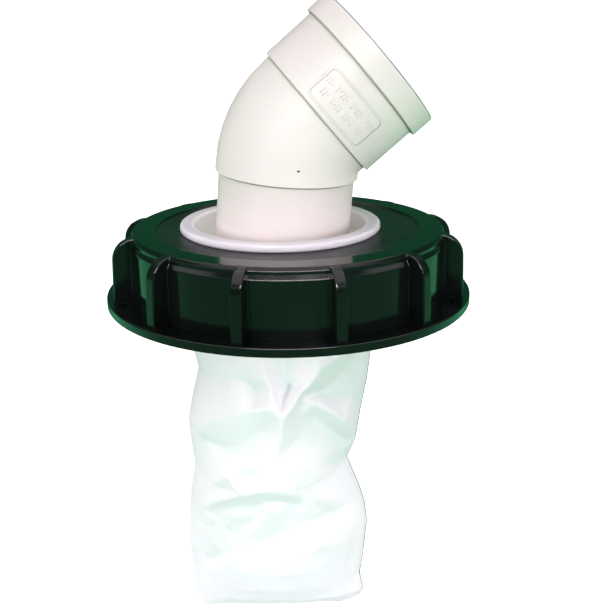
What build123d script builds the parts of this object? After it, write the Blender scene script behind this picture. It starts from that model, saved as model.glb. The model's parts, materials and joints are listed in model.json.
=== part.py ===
from build123d import *
import math
import os

# Tank lid with a mesh filter bag and a pipe elbow, in millimetres.
# The origin is on the lid's axis, in the plane of the flange's lower face. +Z is up and out of the tank, and
# the elbow bends towards +X.

# Tank neck that the lid screws on to
NECK_THREAD_OD = 163.0
THREAD_PITCH = 7.0
THREAD_HOLD = 1.5          # how far the lid's ridge reaches inside the neck's thread
THREAD_SLACK = 2.5         # gap from the neck's thread to the lid's inner wall
THREAD_TIP = 1.6           # height of the ridge at its crest
THREAD_LOAD_SLOPE = 0.5    # height that the loaded flank takes up, from root to crest
THREAD_BACK_SLOPE = 2.2    # height that the other flank takes up
THREAD_START = 6.0         # lowest point of the ridge above the flange's lower face
THREAD_CLEAR = 7.9         # from the top of the ridge to the gasket
THREAD_EMBED = 0.4         # how deep the ridge's root runs into the wall

# Screw lid
LID_HEIGHT = 40.5
SKIRT_WALL = 5.5
TOP_WALL = 4.2
RECESS_DEPTH = 0.9
RIM_BAND = 12.3            # width of the raised ring round the recess
FLANGE_REACH = 13.7
FLANGE_THICKNESS = 4.8
FLANGE_EDGE_ROUND = 0.6
SHOULDER_TOP_RUN = 1.4
SHOULDER_TOP_DROP = 1.9
SHOULDER_RISER = 1.6
SHOULDER_LOW_RUN = 1.5
SHOULDER_LOW_DROP = 2.6
SHOULDER_ROUND = 0.7

RIB_COUNT = 12
RIB_THICKNESS = 6.0
RIB_INSET = 3.3            # from the flange's edge to the rib's foot
RIB_FLARE = 1.3            # how much less the rib reaches at its top
RIB_TOP_DROP = 0.3         # from the lid's top to the rib's top
RIB_TOP_LAP = 0.4          # how far the rib's flat top ends inside the lid's top edge
RIB_EDGE_ROUND = 0.7
RIB_ROOT = 4.5             # how deep the rib runs into the wall

SLOT_INSET = 6.8           # from the flange's edge to the slot's middle
SLOT_RIB_GAP = 1.75        # from the side of the rib to the end of the slot
SLOT_WIDTH = 3.6
SLOT_LENGTH = 9.0

# Gasket and the ring that keeps it against the lid's top
GASKET_THICKNESS = 3.2
GASKET_WIDTH = 10.0
GASKET_GAP = 0.4           # to the lid's wall and to the keeper ring
KEEPER_WALL = 2.2
KEEPER_DROP = 2.4

# Collar of the filter bag, off the lid's axis
COLLAR_X = -4.2
COLLAR_Y = -1.8
COLLAR_HOLE_GAP = 0.3
COLLAR_WALL = 4.2
COLLAR_LOW_WALL = 3.0
RIM_REACH = 4.0
RIM_THICKNESS = 4.4
RIM_ROUND = 1.8
NECK_DEPTH = 31.6          # from the rim's lower face to the neck's end
BEAD_HEIGHT = 1.8
BEAD_REACH = 0.9
BEAD_GAP = 0.2
FLOOR_THICKNESS = 3.6
HUB_WALL = 3.2
CUP_DEPTH = 16.0           # from the rim's top to the floor
CUP_ROOM = 9.86            # from the hub's bore to the wall of the cup
HUB_HOLD = 9.5             # how far the pipe goes into the hub
SEAT_THICKNESS = 3.0
SEAT_GAP = 0.1             # between hub and pipe once the pipe leans over

# Pipe elbow
PIPE_OD = 75.0
PIPE_WALL = 3.2
SPIGOT_LENGTH = 50.0
SPIGOT_CHAMFER = 1.4
LEAN_RIGHT = 4.7           # degrees towards +X
LEAN_FRONT = 1.3           # degrees towards -Y
BEND_HEADING = 5.4         # degrees from +X towards +Y
BEND_ANGLE = 45.0
BODY_SHOULDER = 1.9        # step from spigot to bend
BODY_WALL = 3.6
BORE_TAPER = 5.1           # length over which the bore widens from the spigot to the bend
CROTCH_RADIUS = 1.6
STRAIGHT_BEFORE = 2.5
STRAIGHT_AFTER = 3.1
SOCKET_CLEARANCE = 0.1
SOCKET_WALL = 3.9
SOCKET_DEPTH = 41.0
SOCKET_STOP = 3.5          # wall behind the end of the pipe in the socket
MOUTH_BAND_REACH = 2.35
MOUTH_BAND_LENGTH = 13.1
MOUTH_CHAMFER = 1.4
STEP_ROUND = 0.8

# Raised frame on the camera side of the socket
FRAME_FROM_BACK = 3.0      # from the socket's back edge
FRAME_FROM_BAND = 9.0      # from the band at the mouth
FRAME_MIDDLE = 89.0        # degrees round the socket from the inside of the bend
FRAME_SPREAD = 57.0        # degrees
FRAME_CORNER = 3.0
FRAME_LINE = 0.8
FRAME_HEIGHT = 0.45

# Mesh bag
BAG_LENGTH = 214.0         # below the hem
BAG_WALL = 1.0
HEM_WALL = 1.3
HEM_OVERLAP = 18.0
HEM_BELOW = 2.0
BAG_SIDES = 24             # flat panels round the bag
BAG_MOUTH_CUT = 0.5        # how far the hollow runs above the bag's upper edge
BAG_END_INSET = 3.0        # how much each side draws in at the bottom seam
BAG_SEAM_WALL = 1.5        # half the depth of the bottom seam

# Sections of the bag: share of the length, then left side, right side and half depth in hem radii
BAG_SHARES = (
    (0.103, 0.987, 0.991, 0.944),
    (0.165, 0.972, 0.974, 0.921),
    (0.229, 0.938, 0.946, 0.897),
    (0.272, 0.965, 0.928, 0.880),
    (0.318, 1.013, 0.897, 0.860),
    (0.411, 1.073, 0.837, 0.822),
    (0.514, 1.024, 0.721, 0.766),
    (0.607, 1.080, 0.860, 0.710),
    (0.701, 1.114, 0.938, 0.636),
    (0.804, 1.129, 0.916, 0.523),
    (0.888, 1.084, 0.890, 0.380),
    (0.953, 1.075, 0.905, 0.230),
    (0.985, 1.030, 0.850, 0.100),
)
BAG_PILLOW = 0.45          # how much the section thins from an oval towards its side edges, low in the bag
BAG_PILLOW_FROM = 0.4      # share of the length where the section is as thin as that

# Main folds of the bag's front: across from the collar's axis in hem radii, down as a share of the length, and
# how far the cloth stands out there in hem radii. The back has the same folds turned about.
FOLD_SPOTS = (
    (-0.20, 0.12, 0.06), (-0.11, 0.21, 0.13), (-0.01, 0.27, 0.17), (-0.03, 0.33, 0.13),
    (-0.07, 0.37, 0.11), (0.56, 0.13, 0.09), (0.28, 0.18, 0.15), (0.10, 0.24, 0.15), (-1.08, 0.38, 0.09),
    (-0.74, 0.32, 0.11), (-0.39, 0.27, 0.11), (0.36, 0.25, 0.07), (0.66, 0.35, 0.09), (0.83, 0.43, 0.07),
    (-1.04, 0.59, 0.07), (-0.61, 0.48, 0.09), (-0.30, 0.43, 0.09), (0.06, 0.46, 0.07), (0.19, 0.54, 0.07),
    (-0.65, 0.56, 0.09), (-0.28, 0.50, 0.13), (0.00, 0.51, 0.11), (0.55, 0.58, 0.07), (0.88, 0.65, 0.00),
    (-0.48, 0.60, -0.02), (-0.20, 0.59, 0.04), (-0.37, 0.69, 0.04), (-0.63, 0.78, 0.06),
    (-0.52, 0.68, -0.09), (-0.71, 0.74, -0.07), (0.51, 0.63, 0.00), (0.00, 0.66, -0.02),
    (0.08, 0.19, -0.06), (-0.48, 0.20, 0.00), (-0.89, 0.23, 0.00), (-0.67, 0.41, -0.06),
    (-0.33, 0.37, -0.04), (0.68, 0.19, -0.07), (0.45, 0.26, -0.11), (0.77, 0.29, -0.09),
    (0.53, 0.38, -0.07), (0.68, 0.45, -0.09), (0.17, 0.35, -0.02), (0.32, 0.46, 0.06), (0.60, 0.53, 0.07),
    (-0.93, 0.71, -0.04), (0.38, 0.71, 0.09), (0.68, 0.89, 0.06), (-0.18, 0.79, 0.07), (-0.59, 0.86, 0.06),
    (0.15, 0.88, 0.07),
)
FOLD_BLEND = 0.063         # in hem radii, how softly one fold spot runs into the next
FOLD_START = 0.10          # share of the length over which the folds begin under the hem
FOLD_MIN_DEPTH = 0.374     # half depth in hem radii under which the folds die away
EDGE_BLEND = 1.6           # how soon the folds and the wall come in beside the bag's side edges
BACK_FOLD = (-0.15, 0.03, 0.9)  # shift across, shift down and strength of the folds of the back

# Values worked out from those above
THREAD_ROOT_R = NECK_THREAD_OD / 2 + THREAD_SLACK
THREAD_CREST_R = NECK_THREAD_OD / 2 - THREAD_HOLD
RIDGE_HEIGHT = THREAD_BACK_SLOPE + THREAD_TIP + THREAD_LOAD_SLOPE
SKIRT_R = THREAD_ROOT_R + SKIRT_WALL
FLANGE_R = SKIRT_R + FLANGE_REACH
TOP_EDGE_R = SKIRT_R - SHOULDER_TOP_RUN - SHOULDER_LOW_RUN
RECESS_R = TOP_EDGE_R - RIM_BAND
RECESS_Z = LID_HEIGHT - RECESS_DEPTH
UNDERSIDE_Z = RECESS_Z - TOP_WALL
GASKET_Z = UNDERSIDE_Z - GASKET_THICKNESS
RIB_STEP = 360 / RIB_COUNT
SLOT_R = FLANGE_R - SLOT_INSET
RIM_TOP = RECESS_Z + RIM_THICKNESS
COLLAR_BOTTOM = RECESS_Z - NECK_DEPTH
HUB_TOP = RIM_TOP - CUP_DEPTH
SEAT_Z = HUB_TOP - HUB_HOLD
COLLAR_PLACE = Location((COLLAR_X, COLLAR_Y, 0))
PIPE_R = PIPE_OD / 2
PIPE_BORE_R = PIPE_R - PIPE_WALL
BODY_R = PIPE_R + BODY_SHOULDER
BODY_BORE_R = BODY_R - BODY_WALL
BEND_R = BODY_R + CROTCH_RADIUS
SOCKET_BORE_R = PIPE_R + SOCKET_CLEARANCE
SOCKET_R = SOCKET_BORE_R + SOCKET_WALL
SOCKET_LENGTH = SOCKET_DEPTH + SOCKET_STOP
LEAN = math.atan(math.hypot(math.tan(math.radians(LEAN_RIGHT)), math.tan(math.radians(LEAN_FRONT))))
HUB_BORE_R = PIPE_R / math.cos(LEAN) + HUB_HOLD / 2 * math.tan(LEAN) + SEAT_GAP
CUP_R = HUB_BORE_R + CUP_ROOM
NECK_R = CUP_R + COLLAR_WALL
HEM_R = NECK_R + HEM_WALL
HEM_LOW = COLLAR_BOTTOM - HEM_BELOW


def turned(points, rounds=()):
    """A solid of revolution about Z from (radius, height) points, with some corners rounded."""
    section = Plane.XZ * make_face(Polyline(*points, close=True))
    for radius, corners in rounds:
        spots = [Vector(r, 0, z) for r, z in corners]
        chosen = [v for v in section.vertices() if any((Vector(v) - s).length < 1e-4 for s in spots)]
        section = fillet(chosen, radius)
    return revolve(section, axis=Axis.Z)


def ring(inner, outer, low, high):
    """A plain ring about Z."""
    return turned(((inner, low), (outer, low), (outer, high), (inner, high)))


def lid_shell():
    """The lid's turned form: flange, skirt, stepped shoulder, top and recess."""
    riser_r = TOP_EDGE_R + SHOULDER_TOP_RUN
    riser_top = LID_HEIGHT - SHOULDER_TOP_DROP
    riser_foot = riser_top - SHOULDER_RISER
    wall_top = riser_foot - SHOULDER_LOW_DROP
    points = (
        (THREAD_ROOT_R, 0),
        (FLANGE_R, 0),
        (FLANGE_R, FLANGE_THICKNESS),
        (SKIRT_R, FLANGE_THICKNESS),
        (SKIRT_R, wall_top),
        (riser_r, riser_foot),
        (riser_r, riser_top),
        (TOP_EDGE_R, LID_HEIGHT),
        (RECESS_R, LID_HEIGHT),
        (RECESS_R - RECESS_DEPTH / 2, RECESS_Z),
        (0, RECESS_Z),
        (0, UNDERSIDE_Z),
        (THREAD_ROOT_R, UNDERSIDE_Z),
    )
    rounds = (
        (FLANGE_EDGE_ROUND, ((FLANGE_R, 0), (FLANGE_R, FLANGE_THICKNESS))),
        (SHOULDER_ROUND, ((SKIRT_R, wall_top), (riser_r, riser_top), (TOP_EDGE_R, LID_HEIGHT))),
    )
    return turned(points, rounds)


def lid_rib():
    """One grip rib on the +X side: it rounds over from the lid's top edge and flares to the flange."""
    root = SKIRT_R - RIB_ROOT
    foot_r = FLANGE_R - RIB_INSET
    top_r = foot_r - RIB_FLARE
    top = LID_HEIGHT - RIB_TOP_DROP
    section = Plane.XZ * make_face(Polyline(
        (root, FLANGE_THICKNESS / 2), (foot_r, FLANGE_THICKNESS / 2), (top_r, top), (root, top), close=True))
    corner = section.vertices().sort_by(Axis.Z)[-2:].sort_by(Axis.X)[-1]
    section = fillet(corner, top_r - TOP_EDGE_R + RIB_TOP_LAP)
    rib = extrude(section, RIB_THICKNESS / 2, both=True)
    outer = [e for e in rib.edges() if abs(abs(e.center().Y) - RIB_THICKNESS / 2) < 1e-3
             and e.center().X > SKIRT_R and e.center().Z > FLANGE_THICKNESS]
    return fillet(outer, RIB_EDGE_ROUND)


def lid_thread():
    """The coarse buttress ridge inside the skirt."""
    low = THREAD_BACK_SLOPE
    root = THREAD_ROOT_R + THREAD_EMBED
    ridge = Plane.XZ * make_face(Polyline(
        (root, 0), (THREAD_CREST_R, low), (THREAD_CREST_R, low + THREAD_TIP),
        (root, RIDGE_HEIGHT), close=True))
    path = Helix(THREAD_PITCH, GASKET_Z - THREAD_CLEAR - RIDGE_HEIGHT - THREAD_START, root)
    return Pos(0, 0, THREAD_START) * sweep(ridge, path=path, is_frenet=True)


def slot_angles():
    """Where the flange's slots are: beside the ribs nearest the X axis, on the side away from it."""
    aside = math.degrees((RIB_THICKNESS / 2 + SLOT_RIB_GAP + SLOT_LENGTH / 2) / SLOT_R)
    beside = RIB_STEP / 2 + aside
    return (beside, 180 - beside, 180 + beside, 360 - beside)


def screw_lid():
    """The black lid."""
    lid = lid_shell()
    lid += [Rot(0, 0, RIB_STEP * (k + 0.5)) * lid_rib() for k in range(RIB_COUNT)]
    keeper_r = THREAD_ROOT_R - 2 * GASKET_GAP - GASKET_WIDTH
    lid += ring(keeper_r - KEEPER_WALL, keeper_r, UNDERSIDE_Z - KEEPER_DROP, UNDERSIDE_Z + TOP_WALL / 2)
    lid += lid_thread()
    slot = extrude(Plane.XY * SlotOverall(SLOT_LENGTH, SLOT_WIDTH, rotation=90), FLANGE_THICKNESS * 2, both=True)
    lid -= [Rot(0, 0, a) * Pos(SLOT_R, 0, 0) * slot for a in slot_angles()]
    lid -= COLLAR_PLACE * Cylinder(NECK_R + COLLAR_HOLE_GAP, 3 * LID_HEIGHT)
    return lid


def lid_gasket():
    """The flat sealing ring, up against the lid's top."""
    outer = THREAD_ROOT_R - GASKET_GAP
    return ring(outer - GASKET_WIDTH, outer, GASKET_Z, UNDERSIDE_Z)


def filter_collar():
    """The white collar: rim, neck, snap bead, floor and the hub that holds the pipe."""
    low_r = NECK_R - COLLAR_LOW_WALL
    floor_low = HUB_TOP - FLOOR_THICKNESS
    rim_r = NECK_R + RIM_REACH
    bead_top = UNDERSIDE_Z - BEAD_GAP
    seat_low = SEAT_Z - SEAT_THICKNESS
    hub_r = HUB_BORE_R + HUB_WALL
    points = (
        (CUP_R, RIM_TOP),
        (rim_r, RIM_TOP),
        (rim_r, RECESS_Z),
        (NECK_R, RECESS_Z),
        (NECK_R, bead_top),
        (NECK_R + BEAD_REACH, bead_top),
        (NECK_R, bead_top - BEAD_HEIGHT),
        (NECK_R, COLLAR_BOTTOM),
        (low_r, COLLAR_BOTTOM),
        (low_r, floor_low),
        (hub_r, floor_low),
        (hub_r, seat_low),
        (PIPE_BORE_R, seat_low),
        (PIPE_BORE_R, SEAT_Z),
        (HUB_BORE_R, SEAT_Z),
        (HUB_BORE_R, HUB_TOP),
        (CUP_R, HUB_TOP),
    )
    rounds = ((RIM_ROUND, ((CUP_R, RIM_TOP), (rim_r, RIM_TOP), (rim_r, RECESS_Z))),)
    return COLLAR_PLACE * turned(points, rounds)


def elbow_run(radius, spigot_radius, start):
    """A solid pipe of one radius from a height on the spigot to the socket, with the spigot below it."""
    bend_z = SPIGOT_LENGTH + STRAIGHT_BEFORE
    spigot = Cylinder(spigot_radius, SPIGOT_LENGTH, align=(Align.CENTER, Align.CENTER, Align.MIN))
    before = Pos(0, 0, start) * Cylinder(radius, bend_z - start, align=(Align.CENTER, Align.CENTER, Align.MIN))
    disc = Pos(0, 0, bend_z) * Circle(radius)
    bend = revolve(disc, axis=Axis((BEND_R, 0, bend_z), (0, 1, 0)), revolution_arc=BEND_ANGLE)
    after = socket_place(-STRAIGHT_AFTER) * Cylinder(
        radius, STRAIGHT_AFTER, align=(Align.CENTER, Align.CENTER, Align.MIN))
    return spigot + before + bend + after


def socket_place(along):
    """The frame on the socket's axis, a distance past the socket's back edge. Its X is the bend's inside."""
    turn = math.radians(BEND_ANGLE)
    bend_z = SPIGOT_LENGTH + STRAIGHT_BEFORE
    axis = Vector(math.sin(turn), 0, math.cos(turn))
    inside = Vector(math.cos(turn), 0, -math.sin(turn))
    end = Vector(BEND_R * (1 - math.cos(turn)), 0, bend_z + BEND_R * math.sin(turn))
    return Plane(end + axis * (STRAIGHT_AFTER + along), x_dir=inside, z_dir=axis).location


def label_frame():
    """The raised rounded frame, wrapped on the socket's camera side, in the socket's own frame."""
    low = FRAME_FROM_BACK
    high = SOCKET_LENGTH - MOUTH_BAND_LENGTH - FRAME_FROM_BAND
    middle = math.radians(FRAME_MIDDLE)
    width = 2 * SOCKET_R * math.sin(math.radians(FRAME_SPREAD) / 2)
    outward = Vector(math.cos(middle), -math.sin(middle), 0)
    face = Plane((0, 0, (low + high) / 2), x_dir=Vector(0, 0, 1), z_dir=outward)
    outline = RectangleRounded(high - low, width, FRAME_CORNER)
    inner = RectangleRounded(high - low - 2 * FRAME_LINE, width - 2 * FRAME_LINE, FRAME_CORNER - FRAME_LINE)
    column = extrude(face * (outline - inner), SOCKET_R * 2)
    sleeve = Cylinder(SOCKET_R + FRAME_HEIGHT, high * 2) - Cylinder(SOCKET_R - FRAME_LINE, high * 2)
    return Pos(0, 0, high) * sleeve & column


def pipe_elbow():
    """The elbow, standing in the collar's hub with a slight lean."""
    outside = elbow_run(BODY_R, PIPE_R, SPIGOT_LENGTH)
    body = turned((
        (0, 0), (SOCKET_R, 0), (SOCKET_R, SOCKET_LENGTH - MOUTH_BAND_LENGTH),
        (SOCKET_R + MOUTH_BAND_REACH, SOCKET_LENGTH - MOUTH_BAND_LENGTH),
        (SOCKET_R + MOUTH_BAND_REACH, SOCKET_LENGTH), (0, SOCKET_LENGTH)),
        ((STEP_ROUND, ((SOCKET_R, 0), (SOCKET_R + MOUTH_BAND_REACH, SOCKET_LENGTH - MOUTH_BAND_LENGTH),
                       (SOCKET_R + MOUTH_BAND_REACH, SOCKET_LENGTH))),))
    outside += socket_place(0) * (body + label_frame())
    taper = turned((
        (0, SPIGOT_LENGTH - BORE_TAPER), (PIPE_BORE_R, SPIGOT_LENGTH - BORE_TAPER),
        (BODY_BORE_R, SPIGOT_LENGTH), (0, SPIGOT_LENGTH)))
    water_way = elbow_run(BODY_BORE_R, PIPE_BORE_R, SPIGOT_LENGTH) + taper
    socket_hole = turned((
        (0, SOCKET_STOP), (SOCKET_BORE_R, SOCKET_STOP), (SOCKET_BORE_R, SOCKET_LENGTH - MOUTH_CHAMFER),
        (SOCKET_BORE_R + MOUTH_CHAMFER, SOCKET_LENGTH), (0, SOCKET_LENGTH)))
    throat = Cylinder(BODY_BORE_R, SOCKET_STOP * 2, align=(Align.CENTER, Align.CENTER, Align.MIN))
    elbow = outside - water_way - socket_place(0) * (socket_hole + throat)
    spigot_edge = elbow.edges().filter_by(GeomType.CIRCLE).sort_by(Axis.Z)[:2].sort_by(SortBy.RADIUS)[-1]
    elbow = chamfer(spigot_edge, SPIGOT_CHAMFER)
    return elbow_place() * elbow


def elbow_place():
    """Where the elbow stands: leaning in the hub, with the lowest point of its end on the seat."""
    up = Vector(math.tan(math.radians(LEAN_RIGHT)), -math.tan(math.radians(LEAN_FRONT)), 1).normalized()
    heading = math.radians(BEND_HEADING)
    ahead = Vector(math.cos(heading), math.sin(heading), 0)
    ahead = (ahead - up * ahead.dot(up)).normalized()
    end_z = SEAT_Z + (PIPE_R - SPIGOT_CHAMFER) * math.sin(LEAN)
    middle = Vector(COLLAR_X, COLLAR_Y, (HUB_TOP + SEAT_Z) / 2)
    end = middle - up * ((middle.Z - end_z) / up.Z)
    return Plane(end, x_dir=ahead, z_dir=up).location


def fold_reach(across, down):
    """How far the bag's front stands out, in hem radii: the spots' values, the near ones counting most."""
    reach = weights = 0.0
    for spot_across, spot_down, value in FOLD_SPOTS:
        gap = math.hypot(across - spot_across, (down - spot_down) * BAG_LENGTH / HEM_R, FOLD_BLEND)
        reach += value / gap ** 3
        weights += 1 / gap ** 3
    return reach / weights


def bag_section(share, left, right, half_depth, wall):
    """A closed many-sided section of the bag at a share of its length, with its folds, wall millimetres in."""
    middle, half = (right - left) / 2, (right + left) / 2
    thinning = 1 + BAG_PILLOW * min(1, max(0, share / BAG_PILLOW_FROM))
    strength = HEM_R * min(1, max(0, share / FOLD_START)) * min(1, half_depth / (FOLD_MIN_DEPTH * HEM_R))
    back_across, back_down, back_strength = BACK_FOLD
    points = []
    for k in range(BAG_SIDES):
        angle = 2 * math.pi * k / BAG_SIDES
        side = math.sin(angle)
        across = (middle + half * math.cos(angle)) / HEM_R
        if side < 0:
            fold = fold_reach(across, share)
        else:
            fold = back_strength * fold_reach(back_across - across, share + back_down)
        blend = min(1, EDGE_BLEND * abs(side))
        reach = half_depth * abs(side) ** thinning + (fold * strength - wall) * blend
        points.append((COLLAR_X + middle + (half - wall) * math.cos(angle),
                       COLLAR_Y + math.copysign(reach, side), HEM_LOW - BAG_LENGTH * share))
    return Polyline(*points, close=True)


def bag_body(wall):
    """The bag below the collar as one closed form, wall millimetres in from its outer face."""
    mouth = -BAG_MOUTH_CUT / BAG_LENGTH if wall else 0
    rows = [(mouth, HEM_R, HEM_R, HEM_R)]
    rows += [(share, left * HEM_R, right * HEM_R, deep * HEM_R) for share, left, right, deep in BAG_SHARES]
    if not wall:
        rows.append((1, rows[-1][1] - BAG_END_INSET, rows[-1][2] - BAG_END_INSET, BAG_SEAM_WALL))
    return loft([make_face(bag_section(*row, wall)) for row in rows], ruled=True)


def filter_bag():
    """The mesh bag with its hem round the collar's neck."""
    hem = COLLAR_PLACE * ring(NECK_R, HEM_R, HEM_LOW, COLLAR_BOTTOM + HEM_OVERLAP)
    return bag_body(0) - bag_body(BAG_WALL) + hem


PIECES = {
    "screw_lid": screw_lid,
    "lid_gasket": lid_gasket,
    "filter_collar": filter_collar,
    "pipe_elbow": pipe_elbow,
    "filter_bag": filter_bag,
}

os.makedirs("parts", exist_ok=True)
for name, make in PIECES.items():
    piece = make()
    print(name, "volume", round(piece.volume / 1000, 1), "cm3, valid", piece.is_valid)
    export_step(piece, f"parts/{name}.step")
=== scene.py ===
"""Looks for a tank lid filter: moulded plastics, a crumpled mesh bag and a plain studio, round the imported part.

All lengths are in metres, in the part's own frame: the origin is in the middle of the lid's mouth, +Z is up and
-Y faces the camera.
"""
import json
import math

import bmesh
import bpy
from mathutils import Matrix, Vector, noise
from mathutils.bvhtree import BVHTree
from mathutils.geometry import delaunay_2d_cdt


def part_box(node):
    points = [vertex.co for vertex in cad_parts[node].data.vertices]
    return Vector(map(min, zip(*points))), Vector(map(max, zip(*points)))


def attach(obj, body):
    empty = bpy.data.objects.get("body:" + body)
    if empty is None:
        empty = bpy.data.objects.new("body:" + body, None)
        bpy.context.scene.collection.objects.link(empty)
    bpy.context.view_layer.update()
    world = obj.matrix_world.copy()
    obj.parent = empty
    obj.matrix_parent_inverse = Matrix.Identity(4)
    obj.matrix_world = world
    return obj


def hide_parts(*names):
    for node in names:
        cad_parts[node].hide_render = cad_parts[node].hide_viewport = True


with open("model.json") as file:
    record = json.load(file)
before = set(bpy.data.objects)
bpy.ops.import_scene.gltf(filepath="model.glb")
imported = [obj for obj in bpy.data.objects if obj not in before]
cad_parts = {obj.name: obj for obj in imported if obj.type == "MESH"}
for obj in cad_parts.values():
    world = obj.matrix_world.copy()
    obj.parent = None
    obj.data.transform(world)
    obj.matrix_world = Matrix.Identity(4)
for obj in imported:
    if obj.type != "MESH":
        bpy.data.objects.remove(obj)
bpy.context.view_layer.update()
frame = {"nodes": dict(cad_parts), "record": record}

bl_info = {
    "name": "Tank lid filter",
    "version": (1, 0, 0),
    "blender": (4, 5, 0),
    "location": "View3D > Sidebar > Lid filter",
    "description": "Plastics, mesh bag and studio for a tank lid filter",
    "category": "Object",
}

ROOT = "root"
MM = 0.001

# Where the parts are, from the frame
LID_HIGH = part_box("screw_lid")[1]
COLLAR_LOW, COLLAR_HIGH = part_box("filter_collar")
COLLAR_X = (COLLAR_LOW.x + COLLAR_HIGH.x) / 2
COLLAR_Y = (COLLAR_LOW.y + COLLAR_HIGH.y) / 2
BAG_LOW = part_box("filter_bag")[0]
SOCKET = next(m for m in frame["record"]["mounts"] if m["name"] == "downpipe_socket")

# The elbow, as the part's source has it
BEND_TURN = math.radians(45.0)
LEAN_RIGHT = math.radians(4.7)
LEAN_FRONT = math.radians(1.3)
SOCKET_WALL = 3.9 * MM
SOCKET_STOP = 3.5 * MM
MOUTH_CHAMFER = 1.4 * MM

# The way the elbow stands, how far along it the bend's lower edge overhangs the spigot, and how far below that edge
# the painted light on the spigot's foot begins and is full
PIPE_UP = Vector((math.tan(LEAN_RIGHT), -math.tan(LEAN_FRONT), 1)).normalized()
BEND_EDGE = 71.0 * MM
FOOT_LIGHT_BEGINS = 24 * MM
FOOT_LIGHT_FULL = 32 * MM
SHADE_FADE = 1.0 * MM      # how far the spigot's colour runs out on each side of that edge
LID_EDGE_FADE = 4 * MM     # height over which the lid's edges begin to look rounded

# A dark dot in the bend's plastic, low on its front
DARK_DOT = (5.9 * MM, -42.1 * MM, 78.8 * MM)

# Tones that stay as they are: dust and rubbed places, specks and the dot, shaded lines, rubber, thread and white
LID_DUST = (0.13, 0.15, 0.14, 1.0)
LID_RUBBED = (0.05, 0.055, 0.055, 1.0)
COLLAR_DUST = (0.55, 0.55, 0.5, 1.0)
SPECK_TONE = (0.45, 0.40, 0.34, 1.0)
DOT_TONE = (0.006, 0.006, 0.006, 1.0)
MOUTH_TONE = (0.16, 0.22, 0.24, 1.0)
STEP_TONE = (0.20, 0.22, 0.11, 1.0)
RUBBER_TONES = ((0.018, 0.018, 0.018, 1.0), (0.032, 0.032, 0.030, 1.0))
THREAD_TONES = ((0.10, 0.15, 0.13, 1.0), (0.20, 0.27, 0.24, 1.0))
FLOOR_TONE = (0.9, 0.9, 0.9, 1.0)
WHITE = (1.0, 1.0, 1.0, 1.0)

# Raised bars in the socket's frame, row by row: millimetres from the socket's back edge, first and last bar in
# degrees round the socket from the inside of the bend, degrees between bars, and every how many a bar is left out
BAR_ROWS = ((15.6, 63.0, 119.0, 2.5, 6), (9.6, 66.0, 111.0, 2.6, 5))
BAR_LENGTH = 3.8 * MM
BAR_SUNK = 0.3 * MM        # how deep a bar's foot lies in the socket's wall
BAR_TOP_SHARE = 0.6        # how wide a bar's top is against its foot

# The bag's sides as the photo shows them: height and reach in millimetres
LEFT_SIDE = ((6, -57.6), (-16, -57.4), (-33, -56.1), (-43, -53.8), (-60, -58.0), (-76, -61.3), (-92, -60.4),
             (-107, -58.7), (-124, -61.9), (-139, -63.3), (-161, -64.9), (-179, -62.5), (-195, -62.0),
             (-203, -60.0), (-208, -56.5))
RIGHT_SIDE = ((6, 49.2), (-16, 48.8), (-36, 47.4), (-54, 45.2), (-72, 41.8), (-92, 38.9), (-104, 33.8),
              (-124, 41.6), (-135, 44.8), (-148, 46.5), (-175, 44.0), (-186, 42.2), (-198, 44.8), (-204, 41.0),
              (-208, 31.0))
HALF_DEPTH = ((6, 53.0), (-16, 50.5), (-43, 48.0), (-62, 46.0), (-82, 44.0), (-104, 41.0), (-124, 38.0),
              (-144, 34.0), (-166, 28.0), (-184, 20.3), (-198, 12.3), (-205, 5.3), (-208, 0.5))

# Creases of the front: across and up in millimetres on the front of the bag, and how far they stand out
CREASES = {
    "neck_fold": (
        (-18, -9, 2), (-15, -20, 3), (-12, -31, 5), (-10, -39, 7), (-7, -46, 9), (-5, -52, 9), (-6, -64, 7),
        (-8, -73, 6)),
    "shoulder_fold": (
        (40, -19, 3), (26, -22, 5), (17, -26, 7), (11, -33, 8), (5, -39, 8), (1, -46, 8), (-3, -54, 8),
        (-5, -62, 7)),
    "left_fold": (
        (-69, -76, 5), (-62, -76, 5), (-44, -62, 6), (-35, -57, 6), (-25, -52, 6), (-15, -48, 7), (-7, -46, 9)),
    "right_fold": (
        (7, -43, 1), (15, -48, 4), (24, -57, 5), (31, -68, 5), (37, -81, 4), (44, -92, 3)),
    "band_edge": (
        (-65, -127, 3), (-55, -116, 4), (-37, -97, 5), (-25, -87, 5), (-15, -82, 5), (-8, -73, 6)),
    "arc_ridge": (
        (-8, -73, 6), (-4, -83, 4), (-1, -92, 4), (4, -101, 5), (6, -109, 4), (8, -122, 1)),
    "long_arc": (
        (-56, -130, 2), (-45, -119, 3), (-39, -113, 5), (-29, -106, 6), (-19, -101, 7), (-12, -100, 7),
        (-4, -104, 6), (6, -109, 4), (16, -114, 4), (25, -118, 4), (35, -125, 2), (43, -133, 0)),
    "arc_foot": (
        (-46, -128, 0), (-30, -117, 0), (-17, -112, 1), (-3, -113, 1), (6, -118, 0)),
    "low_left": (
        (-3, -111, 2), (-11, -114, 3), (-15, -120, 3), (-20, -127, 3), (-26, -134, 3), (-27, -144, 3),
        (-29, -151, 3), (-38, -158, 3), (-47, -168, 2), (-55, -177, 1)),
    "low_left_foot": (
        (-17, -120, 0), (-25, -131, -1), (-32, -140, -2), (-34, -151, -1), (-38, -156, -1), (-45, -163, -3),
        (-54, -170, -2)),
    "low_right": (
        (43, -133, 0), (32, -128, 1), (23, -128, 0), (13, -129, 0), (5, -132, -1), (-4, -135, -1),
        (-13, -139, -1), (-20, -143, 0)),
}

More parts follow.
